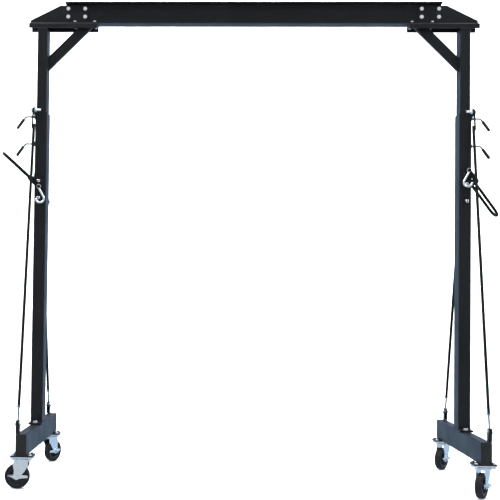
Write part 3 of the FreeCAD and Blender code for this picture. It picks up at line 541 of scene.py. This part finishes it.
def wheel_core(corner, centre, axis):
    """A rim and a hub joined by a thin web, with ten ribs on each face."""
    rim = [(0.0368, -0.0138), (0.0439, -0.0138), (0.0439, 0.0138), (0.0368, 0.0138)]
    web_and_hub = [(0.0352, 0.0118), (0.0346, 0.0045), (0.0170, 0.0062), (0.0158, 0.0150), (0.0120, 0.0150)]
    section = rim + web_and_hub + [(r, -y) for r, y in reversed(web_and_hub)]
    bm = bmesh.new()
    lathe(bm, rounded(section, 0.001), centre, axis, 96)
    direction = Vector(axis).normalized()
    first, second = basis(direction)
    for a in around(10):
        for face in (-1, 1):
            wheel_rib(bm, Vector(centre), direction, spoke(first, second, a), face)
    piece = finished("wheel_core_ribbed_" + corner, bm, CORE, "wheel_" + corner)
    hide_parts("wheel_core_" + corner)


def bearing_sleeve(corner, centre, axis):
    """The steel sleeve that turns on the axle, with chamfered ends."""
    half_sleeve = [(BEARING_RADIUS, -0.0184), (0.0096, -0.0184), (0.0112, -0.0172), (0.0119, -0.0152)]
    bm = bmesh.new()
    lathe(bm, half_sleeve + [(r, -y) for r, y in reversed(half_sleeve)], centre, axis, 48)
    finished("wheel_sleeve_" + corner, bm, ZINC, "wheel_" + corner)


def wheel(corner):
    joint = JOINTS["wheel_%s_spin" % corner]
    centre, axis = joint["pos_m"], joint["axis"]
    tyre(corner, centre, axis)
    wheel_core(corner, centre, axis)
    bearing_sleeve(corner, centre, axis)


def rolled_lip(name, place, radius, thick, body):
    """A rolled edge on a pressing: a thin round ring about a vertical axis."""
    bm = bmesh.new()
    section = [(radius + thick * math.cos(a), thick * math.sin(a)) for a in around(10)]
    lathe(bm, section, place, (0, 0, 1), 72)
    finished(name, bm, STEEL, body)


def swivel_head(corner):
    """Rolled lips on the fork's crown and on the race above it."""
    x, y, _ = JOINTS["caster_%s_swivel" % corner]["pos_m"]
    crown_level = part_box("caster_fork_" + corner)[1].z - 0.0095
    race_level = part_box("caster_top_plates")[0].z + 0.0052
    rolled_lip("crown_lip_" + corner, (x, y, crown_level), 0.0377, 0.0011, "caster_" + corner)
    rolled_lip("race_lip_" + corner, (x, y, race_level), 0.0399, 0.0009, "legs")


# ---------------------------------------------------------------- screws and rods
def eyebolt_threads():
    """The threaded shanks between the tie rods' lower ends and their eyes."""
    eye_low, eye_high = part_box("tie_rod_eyebolts")
    lug_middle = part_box("tie_rod_lugs")[1].x - LUG_WIDTH / 2
    eye = Vector((lug_middle, eye_high.y - EYE_RADIUS, eye_low.z + EYE_RADIUS))
    ear_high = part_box("tie_rod_brackets")[1]
    rod_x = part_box("tie_rods")[1].x - STRAP_THICKNESS / 2 - ROD_INSET
    top = Vector((rod_x, ear_high.y - EAR_BOLT_IN_Y, ear_high.z - EAR_BOLT_IN_Z))
    lean = Vector((0, eye.y - top.y, eye.z - top.z)).normalized()
    run = (top + lean * STRAP_TO_JOINT - eye).normalized()
    start = eye + run * (EYE_RADIUS + 0.0005)
    bm = bmesh.new()
    for _, s in SIDES:
        for e in ENDS:
            screw_thread(bm, (s * start.x, e * start.y, start.z), (s * run.x, e * run.y, run.z),
                         length=0.064, radius=0.0046, pitch=0.0016, depth=0.0006)
    finished("eyebolt_threads", bm, BLACKENED, "legs")


def grip_radius(t, along):
    """A ribbed sleeve with a narrower mouth and a domed end; t is 0 at the mouth and 1 at the end."""
    mouth, dome, rib_pitch, rib_height = 0.08, 0.9, 0.0046, 0.00045
    if t > dome:
        return GRIP_RADIUS * math.sqrt(max(0.02, 1.0 - ((t - dome) / (1.0 - dome)) ** 2)) * 0.97
    if t < mouth:
        return GRIP_RADIUS * (0.86 + 1.75 * t)
    rib = rib_height * math.cos(math.tau * along / rib_pitch) if 0.12 < t < 0.86 else 0.0
    return GRIP_RADIUS * (0.96 + 0.05 * math.sin(math.pi * t)) + rib


def clamp_grip(level, tag, s):
    name = "%s_%s" % (level, tag)
    low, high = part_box("clamp_grip_" + name)
    rise, reach = math.sin(GRIP_SLOPE), math.cos(GRIP_SLOPE)
    run = Vector((s * reach, 0, -rise))
    mouth_x = low.x if s > 0 else high.x
    top = Vector((mouth_x + s * GRIP_RADIUS * rise, 0, high.z - GRIP_RADIUS * reach))
    length = (high.z - low.z - 2 * GRIP_RADIUS * reach) / rise
    first, second = basis(run)
    steps, sides = 64, 28
    rings = []
    bm = bmesh.new()
    for k in range(steps + 1):
        along = length * k / steps
        r = grip_radius(k / steps, along)
        rings.append([bm.verts.new(top + run * along + spoke(first, second, a) * r) for a in around(sides)])
    skin_rings(bm, rings, False)
    grip = finished("grip_ribbed_" + name, bm, GRIP, "clamp_" + name)
    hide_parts("clamp_grip_" + name)


def clamp_thread(level, tag, s):
    """The stretch of thread between the clamp nut and the plain bar."""
    name = "%s_%s" % (level, tag)
    start_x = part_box("clamp_nuts")[1].x + 0.0006
    height = JOINTS["clamp_%s_turn" % name]["pos_m"][2]
    bm = bmesh.new()
    screw_thread(bm, (s * start_x, 0, height), (s, 0, 0),
                 length=0.0134, radius=0.0061, pitch=0.00175, depth=0.00075)
    finished("clamp_thread_" + name, bm, BLACKENED, "clamp_" + name)


# ---------------------------------------------------------------- stage
def stage():
    """A round pale floor that curves up into a wall well outside the crane."""
    flat, bend, wall, sides, steps = 9.0, 3.0, 9.0, 96, 12
    bend_angles = [math.pi / 2 * i / steps for i in range(steps + 1)]
    section = [(flat + bend * math.sin(a), bend - bend * math.cos(a)) for a in bend_angles]
    section.append((flat + bend, wall))
    bm = bmesh.new()
    rows = [[bm.verts.new((r * math.cos(a), r * math.sin(a), z)) for a in around(sides)] for r, z in section]
    bm.faces.new(rows[0])
    for low, high in zip(rows, rows[1:]):
        for i in range(sides):
            j = (i + 1) % sides
            bm.faces.new((low[j], low[i], high[i], high[j]))
    sweep = smooth_object("studio_sweep", bm, floor_paint())
    sweep.visible_glossy = False
    sweep.visible_shadow = False


def area_light(name, place, target, size, power, colour=(1, 1, 1)):
    light = bpy.data.lights.new(name, "AREA")
    light.shape = "RECTANGLE"
    light.size, light.size_y = size
    light.energy = power
    light.color = colour
    obj = bpy.data.objects.new(name, light)
    obj.location = place
    obj.rotation_euler = (Vector(target) - Vector(place)).to_track_quat("-Z", "Y").to_euler()
    bpy.context.scene.collection.objects.link(obj)


def surroundings():
    """What the gloss reflects: grey in front, blue-grey behind and white overhead."""
    front, beside, behind = (0.66, 0.67, 0.69), (0.62, 0.72, 0.85), (0.40, 0.60, 0.86)
    above = (1.1, 1.12, 1.15)
    world = bpy.data.worlds.new("studio")
    world.use_nodes = True
    nodes, links = world.node_tree.nodes, world.node_tree.links
    split = nodes.new("ShaderNodeSeparateXYZ")
    links.new(nodes.new("ShaderNodeTexCoord").outputs["Generated"], split.inputs["Vector"])
    level = nodes.new("ShaderNodeMapRange")
    level.inputs["From Min"].default_value = -1.0
    links.new(split.outputs["Y"], level.inputs["Value"])
    ramp = nodes.new("ShaderNodeValToRGB")
    ramp.color_ramp.elements.new(0.5)
    for element, place, colour in zip(ramp.color_ramp.elements, (0.0, 0.5, 1.0), (front, beside, behind)):
        element.position, element.color = place, (*colour, 1.0)
    links.new(level.outputs["Result"], ramp.inputs["Fac"])
    height = nodes.new("ShaderNodeMapRange")
    height.inputs["From Min"].default_value = 0.25
    height.inputs["From Max"].default_value = 0.8
    links.new(split.outputs["Z"], height.inputs["Value"])
    sky = nodes.new("ShaderNodeMix")
    sky.data_type = "RGBA"
    sky.inputs["B"].default_value = (*above, 1.0)
    links.new(height.outputs["Result"], sky.inputs["Factor"])
    links.new(ramp.outputs["Color"], sky.inputs["A"])
    links.new(sky.outputs["Result"], nodes["Background"].inputs["Color"])
    nodes["Background"].inputs["Strength"].default_value = 1.0
    bpy.context.scene.world = world


def lighting():
    """Soft lamps left, right and overhead, and one that whitens the wall behind the crane."""
    area_light("key", (-4.2, -1.5, 5.4), (0, 0.3, 0.6), (3.0, 2.0), 230)
    area_light("fill", (4.6, -1.0, 4.6), (0, 0.3, 0.6), (3.0, 3.0), 170)
    area_light("backdrop", (0, 2.6, 6.4), (0, 11.5, 1.5), (6.0, 2.0), 1500)
    area_light("top", (0, 0.5, 5.6), (0, 0.3, 0), (4.0, 3.0), 300, (0.97, 0.985, 1.0))
    bpy.context.scene.view_settings.view_transform = "Standard"


def camera():
    """Nearly square on from the front, a little below the middle of the crane."""
    place = (-0.18359, -5.1313, 0.87555)
    yaw, pitch, roll = 0.0422, 0.0294, 0.0124
    data = bpy.data.cameras.new("view")
    data.sensor_width, data.lens = 36.0, 73.392
    data.shift_x, data.shift_y = 0.16, 0.04326
    data.clip_end = 60.0
    obj = bpy.data.objects.new("view", data)
    turn = Matrix.Rotation(yaw, 4, "Z") @ Matrix.Rotation(math.pi / 2 + pitch, 4, "X")
    turn = turn @ Matrix.Rotation(roll, 4, "Z")
    obj.matrix_world = Matrix.Translation(place) @ turn
    bpy.context.scene.collection.objects.link(obj)
    bpy.context.scene.camera = obj


# ---------------------------------------------------------------- the scene
paint_frame()
leg_welds()
upper_welds()
eyebolt_threads()
for corner in CORNERS:
    wheel(corner)
    swivel_head(corner)
for tag, s in SIDES:
    for level in ("lower", "upper"):
        clamp_grip(level, tag, s)
        clamp_thread(level, tag, s)
stage()
surroundings()
lighting()
camera()
